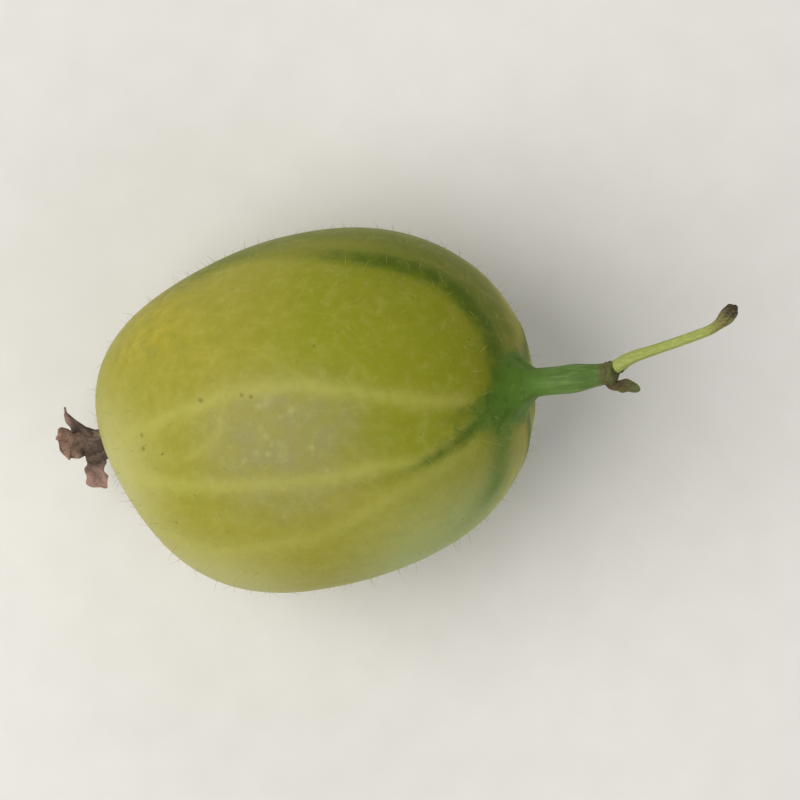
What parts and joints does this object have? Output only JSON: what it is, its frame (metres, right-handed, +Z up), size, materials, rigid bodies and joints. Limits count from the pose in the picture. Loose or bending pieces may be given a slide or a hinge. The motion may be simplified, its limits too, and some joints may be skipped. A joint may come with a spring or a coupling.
{
  "type": "gooseberry",
  "caption": "Green gooseberry lying on its side, with its stalk, the brown joint and pale stalk beyond it, and the dried flower on the other end.",
  "frame": {"origin": "middle of the small flat spot that the fruit rests on", "axes": "+Z up, away from the surface it lies on; +X along the fruit from the dried flower towards the stalk; +Y across it, to the left of somebody looking along +X"},
  "size_m": [0.046, 0.0239, 0.0233],
  "materials": {
    "skin": "satin",
    "green_stalk": "matte",
    "bract": "matte",
    "pale_stalk": "matte",
    "dried_flower": "matte"
  },
  "bodies": {
    "root": {"fruit": "skin", "pedicel": "green_stalk", "bract_joint": "bract", "peduncle": "pale_stalk", "dried_flower": "dried_flower"}
  },
  "joints": []
}
